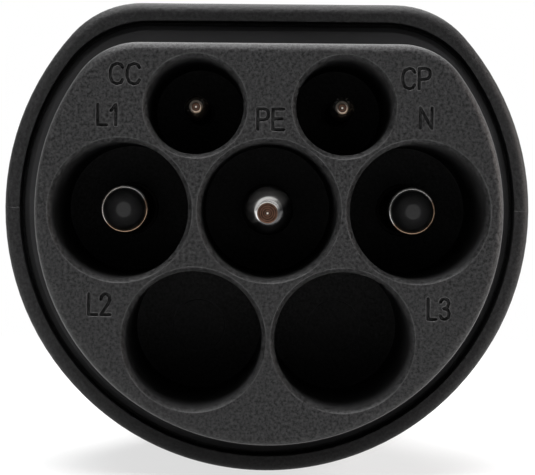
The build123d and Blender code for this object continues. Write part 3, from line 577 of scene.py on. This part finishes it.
def slot_mesh(first, last):
    """The closed slot that the tool cuts on its way from one corner of a stroke to the next."""
    slot = bmesh.new()
    for x, z in (first, last):
        for y in (-TOOL_RADIUS, TOOL_DEPTH):
            for point in ball((x, y * MM, z)):
                slot.verts.new(point)
    bmesh.ops.remove_doubles(slot, verts=slot.verts, dist=POLE_WELD * MM)
    bmesh.ops.convex_hull(slot, input=slot.verts)
    loose = [vert for vert in slot.verts if not vert.link_faces]
    bmesh.ops.delete(slot, geom=loose, context="VERTS")
    mesh = bpy.data.meshes.new("slot")
    slot.to_mesh(mesh)
    slot.free()
    return mesh


def strokes_cutter(lines):
    """All the slots of all the strokes, as one object."""
    cutter = new_mesh("strokes", [], [])
    slots = bmesh.new()
    for line in lines:
        for first, last in zip(line, line[1:]):
            mesh = slot_mesh(first, last)
            slots.from_mesh(mesh)
            bpy.data.meshes.remove(mesh)
    bmesh.ops.recalc_face_normals(slots, faces=slots.faces)
    slots.to_mesh(cutter.data)
    slots.free()
    return cutter


def engraved_nose(material):
    """The nose housing with its contact marks cut into the front face, which is shaded flat."""
    nose = node_copy("nose_housing", "engraved_nose")
    lines = []
    for text, (place, width) in MARKS.items():
        lines += mark_strokes(text, place, width)
    cut(nose, strokes_cutter(lines), overlapping=True)
    drop_crumbs(nose)
    smooth_by_angle(nose)
    for polygon in nose.data.polygons:
        polygon.use_smooth = polygon.normal.y > -FLAT_FACE
    paint(nose, material)
    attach(nose, "housing")
    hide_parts("nose_housing")


# ------------------------------------------------------------------ thread
def helix_cutter(axis, first, turns):
    """Closed V-shaped coil round an axis along Y, which starts at the first Y."""
    half = GROOVE_HALF_WIDTH * THREAD_PITCH
    outside = THREAD_RADIUS + GROOVE_OVERHANG
    root = THREAD_RADIUS - THREAD_DEPTH
    count = round(turns * THREAD_STEPS)
    points = []
    for number in range(count + 1):
        angle = 2 * math.pi * number / THREAD_STEPS
        y = first + THREAD_PITCH * number / THREAD_STEPS
        for reach, shift in ((outside, -half), (outside, half), (root, 0.0)):
            spot = (axis[0] + reach * math.cos(angle), y + shift, axis[1] + reach * math.sin(angle))
            points.append([value * MM for value in spot])
    faces = [(0, 1, 2), (3 * count + 2, 3 * count + 1, 3 * count)]
    for number in range(count):
        low = 3 * number
        for a, b in ((0, 1), (1, 2), (2, 0)):
            faces.append((low + a, low + 3 + a, low + 3 + b, low + b))
    cutter = new_mesh("thread_cutter", points, faces)
    coil = bmesh.new()
    coil.from_mesh(cutter.data)
    bmesh.ops.recalc_face_normals(coil, faces=coil.faces)
    coil.to_mesh(cutter.data)
    coil.free()
    return cutter


def threaded_gland(material):
    """The gland with a helical thread in place of its plain cylinder."""
    gland = node_copy("gland_body", "threaded_gland")
    low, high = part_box("gland_nut")
    axis = ((low[0] + high[0]) / 2 / MM, (low[2] + high[2]) / 2 / MM)
    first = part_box("gland_oring")[0][1] / MM + THREAD_SETBACK + GROOVE_INSET * THREAD_PITCH
    turns = (THREAD_LENGTH - 2 * GROOVE_INSET * THREAD_PITCH) / THREAD_PITCH
    cut(gland, helix_cutter(axis, first, turns))
    smooth_by_angle(gland)
    paint(gland, material)
    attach(gland, "housing")
    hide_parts("gland_body")


# ------------------------------------------------------------------ stage
def white_floor():
    """White paper that keeps the plug's soft shadow and turns plain white further out."""
    low, high = cad_box
    middle = (low[1] + high[1]) / 2
    z = low[2] - FLOOR_GAP
    sides = ((-1, -1), (1, -1), (1, 1), (-1, 1))
    corners = [(x * FLOOR_REACH, middle + y * FLOOR_REACH, z) for x, y in sides]
    floor = new_mesh("floor", corners, [(0, 1, 2, 3)])
    shader = Shader("floor_white")
    distance = shader.add("ShaderNodeVectorMath", operation="DISTANCE")
    shader.join(shader.place, distance.inputs[0])
    distance.inputs[1].default_value = (0.0, middle, z)
    share = shader.ramp(distance.outputs["Value"], GLOW_START, GLOW_FULL, low=NEAR_GLOW)
    path = shader.add("ShaderNodeLightPath").outputs
    seen = shader.either(path["Is Camera Ray"], path["Is Glossy Ray"])
    seen = shader.either(seen, path["Is Transmission Ray"])
    paper = shader.add("ShaderNodeBsdfDiffuse", Color=PAPER)
    glow = shader.add("ShaderNodeEmission", Color=WHITE, Strength=1.0)
    shader.show_mix(shader.times(share, seen), paper, glow)
    paint(floor, shader.material)


def studio_world():
    """White to the camera and, behind the plug, in reflections; a dim studio to all else."""
    surround = bpy.data.worlds.new("surround")
    bpy.context.scene.world = surround
    world = Nodes(surround, "ShaderNodeOutputWorld")
    path = world.add("ShaderNodeLightPath").outputs
    direction = world.split(world.coordinates["Generated"])
    behind = world.ramp(direction["Y"], MIRROR_START, MIRROR_FULL)
    mirrored = world.times(behind, path["Is Glossy Ray"])
    seen = world.either(world.either(path["Is Camera Ray"], path["Is Transmission Ray"]), mirrored)
    dim = world.add("ShaderNodeBackground", Color=WHITE, Strength=STUDIO_STRENGTH)
    bright = world.add("ShaderNodeBackground", Color=WHITE, Strength=1.0)
    world.show_mix(seen, dim, bright)


def area_light(name, place, target, size, power, colour=WHITE, roll=0.0):
    """A soft box aimed at a target, with its power in watts and its roll about the aim in degrees."""
    light = bpy.data.lights.new(name, "AREA")
    light.shape = "RECTANGLE"
    light.size, light.size_y = size
    light.energy = power
    light.color = colour
    lamp = new_object(name, light)
    lamp.location = place
    aim = (Vector(target) - Vector(place)).to_track_quat("-Z", "Y").to_matrix()
    lamp.rotation_euler = (aim @ Matrix.Rotation(math.radians(roll), 3, "Z")).to_euler()


def studio_lights():
    """A strip up and to the left of the lens, two lamps above, one at the right, a faint warm one below."""
    nose = (0.0, 0.01, 0.0)
    handle = (0.0, 0.08, 0.0)
    area_light("strip_box", (-0.20, -0.50, 0.345), nose, size=(1.25, 0.42), power=0.8, roll=30.0)
    area_light("top_box", (-0.10, -0.18, 0.65), nose, size=(0.6, 0.4), power=10.0)
    area_light("top_back", (0.05, 0.30, 0.60), handle, size=(0.6, 0.4), power=6.0)
    area_light("right_rim", (0.6, 0.05, 0.1), nose, size=(0.3, 0.5), power=4.5, colour=(1.0, 0.90, 0.86))
    area_light("low_front", (0.22, -0.45, -0.26), nose, size=(0.3, 0.2), power=0.08,
               colour=(1.0, 0.70, 0.48))


def camera():
    """A camera in front of the mating face, a little off its axis and turned back to its middle."""
    data = bpy.data.cameras.new("camera")
    data.sensor_width = SENSOR_WIDTH
    data.lens = SENSOR_WIDTH * CAMERA_DISTANCE / FRAME_WIDTH
    data.shift_x = SHIFT_ASIDE
    data.shift_y = SHIFT_UP
    data.clip_start = CLIP_START
    eye = new_object("camera", data)
    yaw = Matrix.Rotation(math.atan(CAMERA_ASIDE / CAMERA_DISTANCE), 4, "Z")
    tilt = Matrix.Rotation(-math.atan(CAMERA_RISE / CAMERA_DISTANCE), 4, "X")
    roll = Matrix.Rotation(CAMERA_ROLL, 4, "Y")
    forward = Matrix.Rotation(math.pi / 2, 4, "X")
    place = Matrix.Translation((CAMERA_ASIDE, -CAMERA_DISTANCE, CAMERA_RISE))
    eye.matrix_world = place @ yaw @ tilt @ roll @ forward
    bpy.context.scene.camera = eye


# ------------------------------------------------------------------ build
materials = node_materials()
for node, material in materials.items():
    paint(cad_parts[node], material)
engraved_nose(materials["nose_housing"])
threaded_gland(materials["gland_body"])
white_floor()
studio_world()
studio_lights()
camera()
bpy.context.scene.view_settings.view_transform = "Standard"
